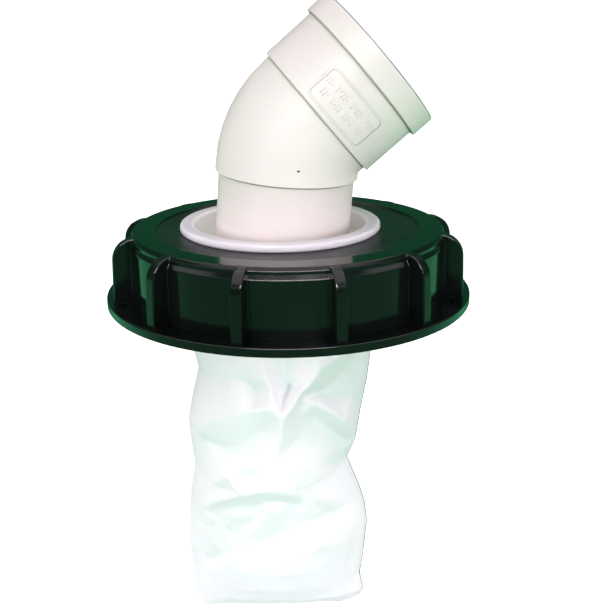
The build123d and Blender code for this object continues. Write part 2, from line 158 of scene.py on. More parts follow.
# Low and high places between the creases, in the same measure
HOLLOWS = ((-4, -29, -3), (0, -38, -3), (-4, -45, 1), (-52, -43, 0), (-36, -34, 1), (-25, -35, 0),
           (-18, -42, -1), (-50, -82, -2), (-38, -81, -3), (-26, -75, -3), (-16, -65, -1), (-60, -102, -1),
           (34, -31, -3), (25, -38, -5), (18, -46, -6), (28, -54, -6), (36, -56, -5), (42, -74, -4),
           (15, -60, -2), (24, -75, -5), (32, -87, -5), (5, -55, 1), (5, -69, -1), (17, -80, -1),
           (32, -99, -4), (11, -92, 3), (23, -106, 4), (32, -115, 3), (-1, -77, 1), (-21, -96, 2),
           (-39, -108, 2), (-59, -138, 0), (-53, -146, -1), (-42, -137, -1), (-30, -125, 0), (-57, -163, -2),
           (0, -123, -1), (16, -121, 2), (16, -145, 5), (4, -154, 5), (32, -149, 4), (32, -184, 3),
           (-14, -162, 4), (-36, -177, 3), (-56, -194, 1), (-7, -146, 1), (4, -183, 4), (-10, -126, 1),
           (-18, -136, 1))
NET_EDGE = ((-75, 12, 0), (0, 12, 0), (62, 12, 0), (75, -60, -3), (75, -120, 0), (62, -212, 0), (0, -212, 0),
            (-75, -212, 0), (-80, -120, 0))
NET_SNAP = 0.01            # points of the net that lie this close are one
NET_ABOVE = 100.0          # a place well above the net, from where it is measured

# How the creases run out, in millimetres: the height where the cloth leaves the collar, the drops over which the
# creases and the fine wrinkles begin, and the half depths under which they die away
CLOTH_FREE = 4.0
CREASE_DROP = 20.0
WRINKLE_DROP = 14.0
CREASE_DEPTH = 20.0
WRINKLE_DEPTH = 12.0

# How soon creases and wrinkles come in beside the bag's side edges, and how much of a wrinkle is left on the edge
CREASE_EDGE = 1.6
WRINKLE_EDGE = 2.0
EDGE_WRINKLE = 0.25

# Broad and small wrinkles: how close they lie across, deep and up, per millimetre, and how high they stand
BROAD_RATE = (0.05, 0.05, 0.06)
SMALL_RATE = (0.16, 0.16, 0.2)
BROAD_HIGH = 0.8
SMALL_HIGH = 0.2

# The back has the front's creases turned about: the shift across and down, and their strength
BACK_ACROSS = 12.0
BACK_DOWN = 6.0
BACK_SHARE = 0.9

# How much the section thins from an oval towards its side edges, and the drop over which it does
PILLOW = 0.45
PILLOW_DROP = 80.0

# A hollow is where the cloth lies this many millimetres below the mean of the rows and columns near it
HOLLOW_DEPTH = 3.0
NEAR = range(-20, 21, 4)

# Lights: place, width and height, and colour
STRIP_AWAY = 1.2
STRIP_TURN = 62            # degrees from the front strip to each side strip
SIDE_STRIP_HIGH = 0.70
FRONT_STRIP_HIGH = 0.80
STRIP_SIZE = (1.25, 0.22)
STRIP_COLOR = (1.0, 0.90, 1.0)
KEY_PLACE = (-0.05, -1.42, 0.68)
KEY_SIZE = (1.1, 1.1)
KEY_COLOR = (1.0, 0.915, 0.96)
BAG_LIGHT_PLACE = (0.75, -0.62, 0.02)
BAG_LIGHT_SIZE = (0.4, 0.4)
BAG_LIGHT_COLOR = (1.0, 0.90, 0.97)
BAG_LIGHT_AIM = (0.0, 0.0, -0.12)
BAG_LIGHT_SPREAD = math.radians(56)

# Camera
CAMERA_PLACE = (0.0, -0.53798, 0.17028)
CAMERA_DOWN = math.radians(18.11)
CAMERA_TURN = math.radians(0.84)
CAMERA_ROLL = math.radians(-0.59)
CAMERA_LENS = 57.97


# Node trees

def put(tree, socket, value):
    """Links a socket to another, or sets its value."""
    if isinstance(value, bpy.types.NodeSocket):
        tree.links.new(value, socket)
    else:
        socket.default_value = value


def add(tree, kind, inputs=None, **settings):
    """A new node with its settings and its inputs, by name or number."""
    node = tree.nodes.new(kind)
    for name, value in settings.items():
        setattr(node, name, value)
    for name, value in (inputs or {}).items():
        put(tree, node.inputs[name], value)
    return node


def calc(tree, operation, *values, clamp=False):
    """The result of a Math node."""
    return add(tree, "ShaderNodeMath", dict(enumerate(values)), operation=operation, use_clamp=clamp).outputs[0]


def vector(tree, operation, *values):
    """The result of a Vector Math node: a number for a length or a dot product, and a vector for the rest."""
    outputs = add(tree, "ShaderNodeVectorMath", dict(enumerate(values)), operation=operation).outputs
    return outputs["Value" if operation in ("LENGTH", "DOT_PRODUCT") else "Vector"]


def ramp(tree, value, low, high, to_low=0.0, to_high=1.0):
    """A value taken smoothly from one range to another, held at its ends."""
    return add(tree, "ShaderNodeMapRange",
               {"Value": value, "From Min": low, "From Max": high, "To Min": to_low, "To Max": to_high},
               interpolation_type="SMOOTHSTEP").outputs["Result"]


def blend(tree, factor, first, second):
    """Two colours mixed."""
    node = tree.nodes.new("ShaderNodeMix")
    node.data_type = "RGBA"
    put(tree, node.inputs[0], factor)
    put(tree, node.inputs[6], first)
    put(tree, node.inputs[7], second)
    return node.outputs[2]


def split(tree, value):
    """The X, Y and Z of a vector."""
    return add(tree, "ShaderNodeSeparateXYZ", {0: value}).outputs


def place(tree):
    """The surface's place on its piece, in metres."""
    return add(tree, "ShaderNodeTexCoord").outputs["Object"]


def normal(tree):
    """The way the surface faces."""
    return add(tree, "ShaderNodeNewGeometry").outputs["Normal"]


def cloud(tree, scale, detail, **more):
    """A cloudy value from 0 to 1 over the piece."""
    return add(tree, "ShaderNodeTexNoise", {"Vector": place(tree), "Scale": scale, "Detail": detail,
                                            **more}).outputs["Fac"]


def height_and_radius(tree, x=0.0, y=0.0):
    """Height above the lid's mouth, and distance from the upright axis through a place."""
    parts = split(tree, place(tree))
    flat = add(tree, "ShaderNodeCombineXYZ", {0: calc(tree, "SUBTRACT", parts[0], x),
                                              1: calc(tree, "SUBTRACT", parts[1], y)}).outputs[0]
    return parts[2], vector(tree, "LENGTH", flat)


# Effects that several materials share

def new_group(name, inputs, outputs):
    """An empty node group with named sockets, and its tree's ends."""
    tree = bpy.data.node_groups.new(name, "ShaderNodeTree")
    for label, kind, default in inputs:
        socket = tree.interface.new_socket(name=label, in_out="INPUT", socket_type=kind)
        socket.default_value = default
    for label, kind in outputs:
        tree.interface.new_socket(name=label, in_out="OUTPUT", socket_type=kind)
    given = tree.nodes.new("NodeGroupInput").outputs
    result = tree.nodes.new("NodeGroupOutput").inputs
    return tree, given, result


def tone_group():
    """Slow drift between two tones of one material."""
    tree, given, result = new_group("Tone drift", (
        ("Tone", "NodeSocketColor", (0.5, 0.5, 0.5, 1.0)),
        ("Other tone", "NodeSocketColor", (0.6, 0.6, 0.6, 1.0)),
        ("Scale", "NodeSocketFloat", 20.0)), (("Color", "NodeSocketColor"),))
    patches = ramp(tree, cloud(tree, given["Scale"], detail=3.0), 0.35, 0.65)
    put(tree, result["Color"], blend(tree, patches, given["Tone"], given["Other tone"]))


def grain_group():
    """Fine moulded grain or orange peel, as a height."""
    tree, given, result = new_group("Moulded grain", (
        ("Scale", "NodeSocketFloat", 900.0),
        ("Coarse share", "NodeSocketFloat", 0.4)), (("Height", "NodeSocketFloat"),))
    fine = cloud(tree, given["Scale"], detail=2.0)
    coarse = cloud(tree, calc(tree, "MULTIPLY", given["Scale"], 0.22), detail=2.0)
    mixed = add(tree, "ShaderNodeMix", {0: given["Coarse share"], 2: fine, 3: coarse}, data_type="FLOAT")
    put(tree, result["Height"], mixed.outputs[0])


def dust_group():
    """Where dust settles: on what faces up, in patches."""
    tree, given, result = new_group("Settled dust", (
        ("Amount", "NodeSocketFloat", 0.3),
        ("Scale", "NodeSocketFloat", 60.0)), (("Mask", "NodeSocketFloat"),))
    facing_up = ramp(tree, split(tree, normal(tree))[2], 0.3, 0.95)
    patches = ramp(tree, cloud(tree, given["Scale"], detail=6.0, Roughness=0.7), 0.42, 0.72)
    mask = calc(tree, "MULTIPLY", facing_up, patches)
    put(tree, result["Mask"], calc(tree, "MULTIPLY", mask, given["Amount"], clamp=True))


def wear_group():
    """Where handling has rubbed an edge: a mask that is 1 on sharp edges and 0 on flat places."""
    tree, given, result = new_group("Rubbed edges", (
        ("Width", "NodeSocketFloat", 0.0006),
        ("Amount", "NodeSocketFloat", 0.5)), (("Mask", "NodeSocketFloat"),))
    rounded = add(tree, "ShaderNodeBevel", {"Radius": given["Width"]}, samples=4).outputs["Normal"]
    sharp = ramp(tree, vector(tree, "DOT_PRODUCT", rounded, normal(tree)), 0.995, 0.85)
    edge = calc(tree, "MULTIPLY", sharp, ramp(tree, cloud(tree, scale=140.0, detail=4.0), 0.35, 0.6))
    put(tree, result["Mask"], calc(tree, "MULTIPLY", edge, given["Amount"], clamp=True))


def weave_group():
    """A plain weave on the cloth's own measure: thread height and how closed the mesh is."""
    tree, given, result = new_group("Mesh weave", (
        ("Pitch", "NodeSocketFloat", 0.0004),), (("Height", "NodeSocketFloat"), ("Closed", "NodeSocketFloat")))
    parts = split(tree, add(tree, "ShaderNodeAttribute", attribute_name="cloth_place").outputs["Vector"])
    rate = calc(tree, "DIVIDE", math.pi, given["Pitch"])
    waves = [calc(tree, "ABSOLUTE", calc(tree, "SINE", calc(tree, "MULTIPLY", parts[k], rate))) for k in (0, 1)]
    put(tree, result["Height"], calc(tree, "MULTIPLY", waves[0], waves[1]))
    put(tree, result["Closed"], calc(tree, "MAXIMUM", waves[0], waves[1]))


GROUPS = {"Tone drift": tone_group, "Moulded grain": grain_group, "Settled dust": dust_group,
          "Rubbed edges": wear_group, "Mesh weave": weave_group}


def effect(tree, name, **inputs):
    """One of the shared effects in a material's tree, with its values. Words in an input's name are joined by _."""
    if name not in bpy.data.node_groups:
        GROUPS[name]()
    node = tree.nodes.new("ShaderNodeGroup")
    node.node_tree = bpy.data.node_groups[name]
    for label, value in inputs.items():
        put(tree, node.inputs[label.replace("_", " ")], value)
    return node.outputs


def drift(tree, tone, other, scale):
    """A colour that drifts between two tones."""
    return effect(tree, "Tone drift", Tone=tone, Other_tone=other, Scale=scale)["Color"]


def grain(tree, scale, coarse):
    """The height of a moulded grain."""
    return effect(tree, "Moulded grain", Scale=scale, Coarse_share=coarse)["Height"]


# Materials

def new_material(name, **constants):
    """A material, its tree and the inputs of its Principled shader."""
    material = bpy.data.materials.new(name)
    material.use_nodes = True
    tree = material.node_tree
    shader = tree.nodes["Principled BSDF"]
    for label, value in constants.items():
        shader.inputs[label.replace("_", " ")].default_value = value
    return material, tree, shader.inputs


def set_bump(tree, shader, height, depth, strength=1.0, under=None):
    """A Bump node on the shader's normal."""
    bump = add(tree, "ShaderNodeBump", {"Height": height, "Distance": depth, "Strength": strength})
    if under is not None:
        put(tree, bump.inputs["Normal"], under)
    put(tree, shader["Normal"], bump.outputs[0])


def mix_with(tree, shader, factor):
    """Mixes another shader over the material's Principled one."""
    mix = add(tree, "ShaderNodeMixShader", {0: factor, 1: tree.nodes["Principled BSDF"].outputs[0], 2: shader})
    put(tree, tree.nodes["Material Output"].inputs["Surface"], mix.outputs[0])


def paint(tone, times=1.0):
    """A colour as four numbers, which a factor makes brighter or duller."""
    return (*(part * times for part in tone), 1.0)


def smudged(tree, scale, detail, roughness, high=0.7, more=0.1):
    """A roughness that drifts up by a little, as where hands have been."""
    return ramp(tree, cloud(tree, scale, detail), 0.3, high, roughness, roughness + more)


def lid_material(look):
    """Glossy moulded black plastic with a green cast, grained in the recess, with dust and rubbed edges."""
    material, tree, shader = new_material("lid_plastic", IOR=1.5, Specular_IOR_Level=0.5)
    height, radius = height_and_radius(tree)
    # The grained face: inside the recess's radius and near the lid's top
    recess = calc(tree, "MULTIPLY", calc(tree, "LESS_THAN", radius, look.recess_radius),
                  calc(tree, "GREATER_THAN", height, LID_HIGH.z - look.recess_depth))
    dust = effect(tree, "Settled dust", Amount=look.dust, Scale=70.0)["Mask"]
    rubbed = effect(tree, "Rubbed edges", Width=0.7 * MM, Amount=0.35)["Mask"]
    tone = drift(tree, paint(look.color), paint(look.color, 1.5), scale=24.0)
    tone = blend(tree, calc(tree, "MULTIPLY", dust, 0.22), tone, LID_DUST)
    tone = blend(tree, calc(tree, "MULTIPLY", rubbed, 0.35), tone, LID_RUBBED)
    put(tree, shader["Base Color"], tone)
    gloss = smudged(tree, scale=38.0, detail=5.0, roughness=look.roughness, high=0.75, more=0.08)
    for mask, more in ((dust, 0.25), (rubbed, 0.12), (recess, look.recess_roughness)):
        gloss = calc(tree, "ADD", gloss, calc(tree, "MULTIPLY", mask, more))
    put(tree, shader["Roughness"], gloss)
    peel = calc(tree, "MULTIPLY", grain(tree, scale=420.0, coarse=0.7), 0.12)
    fine = calc(tree, "MULTIPLY", grain(tree, scale=1500.0, coarse=0.35),
                ramp(tree, recess, 0.0, 1.0, to_low=0.2, to_high=3.0))
    soft_edges = add(tree, "ShaderNodeBevel", {"Radius": look.edge}, samples=6).outputs["Normal"]
    edges = add(tree, "ShaderNodeMix", {0: ramp(tree, height, look.edge_low, look.edge_low + LID_EDGE_FADE),
                                        4: normal(tree), 5: soft_edges}, data_type="VECTOR").outputs[1]
    set_bump(tree, shader, calc(tree, "ADD", peel, fine), depth=0.12 * MM, under=edges)
    return material


def collar_material(look):
    """Waxy cool white plastic that lets a little light in, with painted light inside its cup."""
    material, tree, shader = new_material(
        "collar_plastic", IOR=1.5, Specular_IOR_Level=0.42, Subsurface_Weight=look.depth_share,
        Subsurface_Radius=(1.0, 0.95, 1.1), Subsurface_Scale=look.depth)
    tone = drift(tree, paint(look.color), paint(look.color, 0.97), scale=30.0)
    dust = effect(tree, "Settled dust", Amount=0.4, Scale=90.0)["Mask"]
    radius = height_and_radius(tree, COLLAR_X, COLLAR_Y)[1]
    # Painted light: inside the cup the collar is painted much lighter, standing in for light that reaches in through
    # the waxy plastic
    tone = blend(tree, ramp(tree, radius, look.cup_radius + 2 * MM, look.cup_radius), tone, paint(look.cup_light_color))
    tone = blend(tree, calc(tree, "MULTIPLY", dust, 0.1), tone, COLLAR_DUST)
    put(tree, shader["Base Color"], tone)
    put(tree, shader["Roughness"], smudged(tree, scale=60.0, detail=4.0, roughness=look.roughness))
    set_bump(tree, shader, grain(tree, scale=700.0, coarse=0.5), depth=0.02 * MM)
    return material


def speckled(tree, tone, look):
    """Faint warm specks and the one dark dot in the pipe's plastic."""
    cells = add(tree, "ShaderNodeTexVoronoi", {"Vector": place(tree), "Scale": 210.0, "Randomness": 1.0})
    # About one cell in fourteen holds a speck
    chosen = add(tree, "ShaderNodeSeparateColor", {0: cells.outputs["Color"]}).outputs[0]
    speck = calc(tree, "MULTIPLY", ramp(tree, cells.outputs["Distance"], 0.13, 0.05),
                 calc(tree, "GREATER_THAN", chosen, 0.93))
    tone = blend(tree, calc(tree, "MULTIPLY", speck, look.specks), tone, SPECK_TONE)
    # The dot is wider than it is high
    from_dot = vector(tree, "SUBTRACT", place(tree), DARK_DOT)
    away = vector(tree, "LENGTH", vector(tree, "MULTIPLY", from_dot, (1.0, 1.0, 1.5)))
    return blend(tree, ramp(tree, away, look.dot * 1.15, look.dot * 0.8), tone, DOT_TONE)


def pipe_material(look):
    """Warm white satin pipe plastic with faint specks in it, painted shade on the spigot and painted light at its
    foot, shaded steps and a shaded line at the mouth.
    """
    material, tree, shader = new_material(
        "pipe_plastic", IOR=1.5, Specular_IOR_Level=0.45, Subsurface_Weight=0.12,
        Subsurface_Radius=(1.0, 0.6, 0.45), Subsurface_Scale=2.0 * MM)
    # How far below the bend's lower edge, along the leaning pipe
    below = calc(tree, "SUBTRACT", BEND_EDGE, vector(tree, "DOT_PRODUCT", place(tree), tuple(PIPE_UP)))
    tone = drift(tree, paint(look.color), paint(look.color, 0.975), scale=26.0)
    # Painted shade: below the bend's lower edge the spigot is painted darker than the bend, as less light falls on it
    tone = blend(tree, ramp(tree, below, -SHADE_FADE, SHADE_FADE), tone, paint(look.spigot_shade_color))
    # Painted light: near the collar the spigot's foot is painted lighter, standing in for light through the collar
    tone = blend(tree, ramp(tree, below, FOOT_LIGHT_BEGINS, FOOT_LIGHT_FULL), tone, paint(look.foot_light_color))
    tone = speckled(tree, tone, look)
    # How far ahead of the socket's middle, for the shaded line just inside the mouth
    ahead = vector(tree, "DOT_PRODUCT", vector(tree, "SUBTRACT", place(tree), tuple(SOCKET["pos_m"])),
                   tuple(SOCKET["axis"]))
    mouth = SOCKET["dims"]["length_mm"] * MM / 2 + MOUTH_CHAMFER
    rim = calc(tree, "MULTIPLY", ramp(tree, ahead, mouth - look.rim_line * 1.6, mouth - look.rim_line),
               ramp(tree, ahead, mouth - look.rim_line * 0.2, mouth - look.rim_line * 0.6))
    tone = blend(tree, rim, tone, MOUTH_TONE)
    # The shaded line under the bend's lower edge, and the shade in the corners of the steps
    edge = calc(tree, "MULTIPLY", ramp(tree, below, look.edge_line * 1.6, look.edge_line),
                ramp(tree, below, -0.2 * MM, 0.1 * MM))
    open_share = add(tree, "ShaderNodeAmbientOcclusion", {"Distance": look.step_reach}, samples=8, only_local=True)
    corners = ramp(tree, open_share.outputs["AO"], 0.80, 0.50)
    steps = calc(tree, "MULTIPLY", calc(tree, "MAXIMUM", corners, edge), look.step_shade)
    put(tree, shader["Base Color"], blend(tree, steps, tone, STEP_TONE))
    put(tree, shader["Roughness"], smudged(tree, scale=45.0, detail=5.0, roughness=look.roughness))
    set_bump(tree, shader, grain(tree, scale=620.0, coarse=0.6), depth=0.03 * MM)
    return material


def gasket_material():
    """Soft matt black rubber."""
    material, tree, shader = new_material("gasket_rubber", Specular_IOR_Level=0.3)
    put(tree, shader["Base Color"], drift(tree, *RUBBER_TONES, scale=50.0))
    put(tree, shader["Roughness"], grain(tree, scale=300.0, coarse=0.8))
    set_bump(tree, shader, grain(tree, scale=1800.0, coarse=0.3), depth=0.05 * MM)
    return material


def bag_material(look):
    """Fine white mesh cloth, a little see-through, with painted shade in its hollows and where it faces down."""
    material, tree, shader = new_material("bag_mesh", IOR=1.45, Specular_IOR_Level=0.25, Sheen_Weight=0.25,
                                          Sheen_Roughness=0.4)
    tone = drift(tree, paint(look.color), paint(look.color, 0.98), scale=30.0)
    # Painted shade: cloth that faces down, and cloth in hollows, is painted in the hollow colour, tinted like light
    # from the floor, but not near the bottom seam
    facing = split(tree, normal(tree))[2]
    height = split(tree, place(tree))[2]
    under = calc(tree, "MULTIPLY", ramp(tree, facing, 0.12, -0.55), ramp(tree, height, -0.19, -0.14))
    hollow = add(tree, "ShaderNodeAttribute", attribute_name="hollow").outputs["Fac"]
    shaded = calc(tree, "ADD", under, ramp(tree, hollow, -0.1, 1.8), clamp=True)
    tone = blend(tree, calc(tree, "MULTIPLY", shaded, look.tint), tone, paint(look.tint_color))
    put(tree, shader["Base Color"], tone)
    weave = effect(tree, "Mesh weave", Pitch=look.pitch)
    put(tree, shader["Roughness"], ramp(tree, weave["Height"], 0.0, 1.0, to_low=0.62, to_high=0.48))
    put(tree, shader["Alpha"], ramp(tree, weave["Closed"], 0.55, 0.85, look.opacity - 0.2, look.opacity))
    set_bump(tree, shader, weave["Height"], depth=0.05 * MM, strength=0.5)
    through = add(tree, "ShaderNodeBsdfTranslucent", {"Color": paint(look.through_color)})
    mix_with(tree, through.outputs[0], look.through)
    return material


def thread_material():
    """Grey-green twisted thread."""
    material, tree, shader = new_material("seam_thread", Specular_IOR_Level=0.3, Roughness=0.6)
    put(tree, shader["Base Color"], drift(tree, *THREAD_TONES, scale=400.0))
    set_bump(tree, shader, grain(tree, scale=2400.0, coarse=0.2), depth=0.1 * MM)
    return material


# Pieces in general

def new_piece(name, points, faces, material):
    """A smooth mesh piece that rides on the part."""
    mesh = bpy.data.meshes.new(name)
    mesh.from_pydata([tuple(p) for p in points], [], faces)
    mesh.polygons.foreach_set("use_smooth", [True] * len(mesh.polygons))
    mesh.materials.append(material)
    piece = bpy.data.objects.new(name, mesh)
    bpy.context.scene.collection.objects.link(piece)
    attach(piece, ROOT)
    return piece


def dress(node, material):
    """Gives a CAD node its material."""
    piece = frame["nodes"][node]
    for slot in piece.material_slots:
        slot.material = material


def held(value):
    """A value held between 0 and 1."""
    return min(1.0, max(0.0, value))


# The bag

def along(points, value):
    """A value read from (height, value) points that run downwards."""
    for (z0, v0), (z1, v1) in zip(points, points[1:]):
        if value >= z1:
            break
    return v0 + (v1 - v0) * held((value - z0) / (z1 - z0))


def crease_net():
    """The front's creases as a net of flat facets, whose Y is how far the cloth stands out."""
    spots, edges = [], []
    for line in CREASES.values():
        first = len(spots)
        spots += line
        edges += [(first + k, first + k + 1) for k in range(len(line) - 1)]
    spots += HOLLOWS
    spots += NET_EDGE
    flat, _, faces, origins, _, _ = delaunay_2d_cdt([Vector((x, z)) for x, z, _ in spots], edges, [], 0, NET_SNAP)
    heights = [spots[found[0]][2] if found else 0.0 for found in origins]
    return BVHTree.FromPolygons([(p.x, h, p.y) for p, h in zip(flat, heights)], faces)


def crumple(net, x, z):
    """How far the cloth stands out at a place on the front, in millimetres."""
    hit = net.ray_cast(Vector((x, NET_ABOVE, z)), Vector((0, -1, 0)))[0]
    return hit.y if hit else 0.0


def wrinkle(*spot):
    """Fine unevenness of the cloth at a place, in millimetres."""
    broad = noise.turbulence(Vector([v * rate for v, rate in zip(spot, BROAD_RATE)]), 4, True) - 0.5
    small = noise.noise(Vector([v * rate for v, rate in zip(spot, SMALL_RATE)]))
    return broad * BROAD_HIGH + small * SMALL_HIGH


def crease_field(look, sections):
    """How far the creases stand out, row by row and column by column, in millimetres."""
    net = crease_net()
    across, last = look.panels, len(sections) - 1
    field = []
    for z, middle, half, deep in sections:
        row = []
        for c in range(across):
            angle = 2 * math.pi * c / across
            x = middle + half * math.cos(angle)
            side = math.sin(angle)
            if side < 0:
                stand = crumple(net, x, z)
            else:
                stand = crumple(net, -BACK_ACROSS - x, z - BACK_DOWN) * BACK_SHARE
            fade = held(abs(side) * CREASE_EDGE) * held((CLOTH_FREE - z) / CREASE_DROP)
            row.append(stand * fade * held(deep / CREASE_DEPTH))
        field.append(row)
    for _ in range(look.softening):
        field = [[(field[r][c] * 2 + field[max(r - 1, 0)][c] + field[min(r + 1, last)][c] + field[r][c - 1]
                   + field[r][(c + 1) % across]) / 6 for c in range(across)] for r in range(last + 1)]
    return field


def hollow_field(field):
    """How deep each point lies against its surroundings, as a share of a full hollow."""
    across, last = len(field[0]), len(field) - 1
    mean = [[sum(row[(c + k) % across] for k in NEAR) / len(NEAR) for c in range(across)] for row in field]
    depth = []
    for r in range(last + 1):
        near = [mean[min(max(r + k, 0), last)] for k in NEAR]
        depth += [(sum(row[c] for row in near) / len(near) - field[r][c]) / HOLLOW_DEPTH for c in range(across)]
    return depth


def bag_grid(look):
    """The cloth's points, row by row from the hem's top to the bottom seam, in metres, and how deep each one lies."""
    across, rows = look.panels, look.rows
    top, low = look.hem_top / MM, BAG_LOW.z / MM
    sections = []
    for k in range(rows + 1):
        z = top + (low - top) * k / rows
        left, right = along(LEFT_SIDE, z), along(RIGHT_SIDE, z)
        sections.append((z, (left + right) / 2, (right - left) / 2, along(HALF_DEPTH, z)))
    field = crease_field(look, sections)
    grid = []
    for (z, middle, half, deep), stands in zip(sections, field):
        free = held((CLOTH_FREE - z) / WRINKLE_DROP)
        sharp = 1.0 + PILLOW * held(-z / PILLOW_DROP)
        row = []
        for c, stand in enumerate(stands):
            angle = 2 * math.pi * c / across
            side = math.sin(angle)
            x = middle + half * math.cos(angle)
            y = COLLAR_Y / MM + deep * math.copysign(abs(side) ** sharp, side)
            stand += (wrinkle(x, y, z) * free * held(abs(side) * WRINKLE_EDGE + EDGE_WRINKLE)
                      * held(deep / WRINKLE_DEPTH))
            # The two side edges stay in line
            if c % (across / 2):
                y += stand if side > 0 else -stand
            row.append((x * MM, y * MM, z * MM))
        grid.append(row)
    return grid, hollow_field(field)


def build_bag(look):
    """The crumpled mesh bag and its side seam."""
    grid, depth = bag_grid(look)
    across = len(grid[0])
    points = [p for row in grid for p in row]
    faces = []
    for r in range(len(grid) - 1):
        for c in range(across):
            d = (c + 1) % across
            faces.append((r * across + c, (r + 1) * across + c, (r + 1) * across + d, r * across + d))
    bag = new_piece("mesh_bag", points, faces, bag_material(look))
    wide = 2 * math.pi * look.hem_radius
    step = (grid[0][0][2] - grid[-1][0][2]) / (len(grid) - 1)
    values = []
    for r in range(len(grid)):
        for c in range(across):
            values += (wide * c / across, step * r, 0.0)
    bag.data.attributes.new("cloth_place", "FLOAT_VECTOR", "POINT").data.foreach_set("vector", values)
    bag.data.attributes.new("hollow", "FLOAT", "POINT").data.foreach_set("value", depth)
    close_bottom(bag, across, len(grid) - 1)
    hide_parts("filter_bag")
    seam = tube("bag_side_seam", [row[0] for row in grid[::3]], look.seam, thread_material())


def close_bottom(bag, across, row):
    """Joins the front and back of the bag's last row, as its sewn bottom seam does."""
    mesh = bmesh.new()
    mesh.from_mesh(bag.data)
    mesh.verts.ensure_lookup_table()
    first = row * across
    pairs = {mesh.verts[first + (across - c) % across]: mesh.verts[first + c] for c in range(1, across // 2)}
    bmesh.ops.weld_verts(mesh, targetmap=pairs)
    mesh.to_mesh(bag.data)
    mesh.free()


def tube(name, route, radius, material, sides=8):
    """A thin round thread along a route of points."""
    points, faces = [], []
    for k, spot in enumerate(route):
        ahead = (Vector(route[min(k + 1, len(route) - 1)]) - Vector(route[max(k - 1, 0)])).normalized()
        first = ahead.orthogonal().normalized()
        second = ahead.cross(first)
        for s in range(sides):
            turn = 2 * math.pi * s / sides
            points.append(Vector(spot) + (first * math.cos(turn) + second * math.sin(turn)) * radius)
    for k in range(len(route) - 1):
        for s in range(sides):
            t = (s + 1) % sides
            faces.append((k * sides + s, k * sides + t, (k + 1) * sides + t, (k + 1) * sides + s))
    faces.append(tuple(range(sides - 1, -1, -1)))
    faces.append(tuple(range((len(route) - 1) * sides, len(route) * sides)))
    return new_piece(name, points, faces, material)


# The elbow's raised bars

def socket_frame():
    """The back edge of the socket, its axis, the side on the bend's inside and the side away from the camera."""
    axis = Vector(SOCKET["axis"]).normalized()
    ahead = ((axis - PIPE_UP * math.cos(BEND_TURN)) / math.sin(BEND_TURN)).normalized()
    inside = ahead * math.cos(BEND_TURN) - PIPE_UP * math.sin(BEND_TURN)
    back = Vector(SOCKET["pos_m"]) - axis * (SOCKET["dims"]["length_mm"] * MM / 2 + SOCKET_STOP)
    return back, axis, inside, axis.cross(inside)


def build_bars(look, material):
    """Two rows of plain raised bars inside the socket's frame, every third one short."""
    back, axis, inside, away = socket_frame()
    radius = SOCKET["dims"]["r_mm"] * MM + SOCKET_WALL
    points, faces = [], []
    for from_back, start, end, step, left_out in BAR_ROWS:
        for k in range(int((end - start) / step) + 1):
            if k % left_out == left_out - 1:
                continue
            turn = math.radians(start + step * k)
            outward = inside * math.cos(turn) - away * math.sin(turn)
            aside = axis.cross(outward)
            short = k % 3 == 0
            half = BAR_LENGTH / 4 if short else BAR_LENGTH / 2
            middle = back + axis * (from_back * MM + (BAR_LENGTH / 4 if short and k % 2 else 0.0))
            first = len(points)
            for high, grow in ((-BAR_SUNK, 1.0), (look.bar_height, BAR_TOP_SHARE)):
                slope = look.bar_width / 2 * (1 - grow)
                for p, q in ((-1, -1), (1, -1), (1, 1), (-1, 1)):
                    points.append(middle + outward * (radius + high) + axis * (p * (half - slope))
                                  + aside * (q * (look.bar_width / 2 - slope)))
            faces += [(first + 4, first + 5, first + 6, first + 7)]
            faces += [(first + a, first + (a + 1) % 4, first + 4 + (a + 1) % 4, first + 4 + a) for a in range(4)]
    piece = new_piece("socket_bars", points, faces, material)
    mesh = bmesh.new()
    mesh.from_mesh(piece.data)
    bmesh.ops.recalc_face_normals(mesh, faces=mesh.faces)
    mesh.to_mesh(piece.data)
    mesh.free()


# The stage

def build_world(look):
    """Bright above, green low down as in the photo's studio, and plain white where the camera looks at it."""
    world = bpy.data.worlds.new("studio")
    bpy.context.scene.world = world
    world.use_nodes = True
    tree = world.node_tree
    ray = add(tree, "ShaderNodeLightPath").outputs
    # What glossy plastic mirrors low down: green ground, brighter behind the part and plain right behind it
    _, behind, up = split(tree, add(tree, "ShaderNodeTexCoord").outputs["Generated"])
    ground = blend(tree, ramp(tree, behind, -0.35, 0.4), paint(look.ground), paint(look.ground_behind))
    ground = blend(tree, ramp(tree, behind, 0.68, 0.90), ground, paint(look.surround))
    mirrored = blend(tree, ramp(tree, up, -0.1, 0.1), ground, paint(look.surround))
    low = blend(tree, ray["Is Diffuse Ray"], mirrored, paint(look.fill))
    above = ramp(tree, up, look.light_low, look.light_high)
    lit = blend(tree, above, low, paint(look.light_color, look.light))
    put(tree, tree.nodes["Background"].inputs["Color"], blend(tree, ray["Is Camera Ray"], lit, WHITE))


def build_floor(look):
    """A wide pale floor under the bag. It is white to the camera, pale to soft light and clear to reflections."""
    size = look.floor_size
    z = BAG_LOW.z - look.floor_gap
    mesh = bpy.data.meshes.new("floor")
    mesh.from_pydata([(-size, -size, z), (size, -size, z), (size, size, z), (-size, size, z)], [], [(0, 1, 2, 3)])
    floor = bpy.data.objects.new("floor", mesh)
    bpy.context.scene.collection.objects.link(floor)
    material, tree, shader = new_material("pale_floor", Roughness=0.9, Specular_IOR_Level=0.0, Emission_Color=WHITE)
    ray = add(tree, "ShaderNodeLightPath").outputs
    far = ramp(tree, vector(tree, "LENGTH", place(tree)), look.table_radius * 0.7, look.table_radius * 1.6)
    bounce = blend(tree, far, paint(look.table_bounce), paint(look.floor_bounce))
    put(tree, shader["Base Color"], blend(tree, ray["Is Camera Ray"], bounce, FLOOR_TONE))
    put(tree, shader["Emission Strength"], calc(tree, "MULTIPLY", ray["Is Camera Ray"], look.floor_glow))
    mix_with(tree, add(tree, "ShaderNodeBsdfTransparent").outputs[0], ray["Is Glossy Ray"])
    mesh.materials.append(material)


